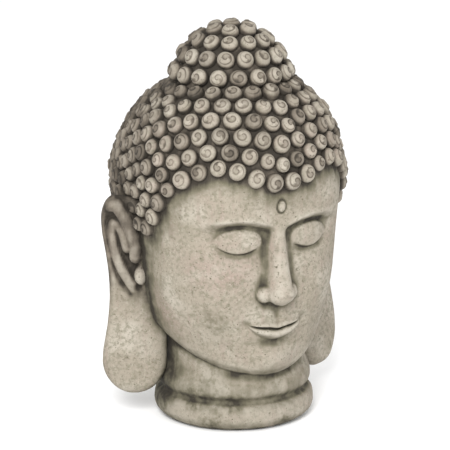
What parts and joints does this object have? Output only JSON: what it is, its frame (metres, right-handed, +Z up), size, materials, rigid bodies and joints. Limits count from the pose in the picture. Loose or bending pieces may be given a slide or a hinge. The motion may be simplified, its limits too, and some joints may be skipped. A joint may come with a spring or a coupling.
{
  "type": "buddha head garden statue",
  "caption": "Cast stone garden statue of a Buddha head: snail-shell curls and topknot, long ears, closed eyes, ringed neck cut flat to stand on.",
  "frame": {"origin": "middle of the neck's flat underside", "axes": "+Z up; the face looks along -Y; +X is the figure's own left"},
  "size_m": [0.3292, 0.3431, 0.4984],
  "materials": {
    "cast_stone": "cast stone, matt and weathered, warm grey with an olive-brown patina rubbed into its recesses"
  },
  "bodies": {
    "root": {"buddha_head": "cast_stone"}
  },
  "joints": []
}
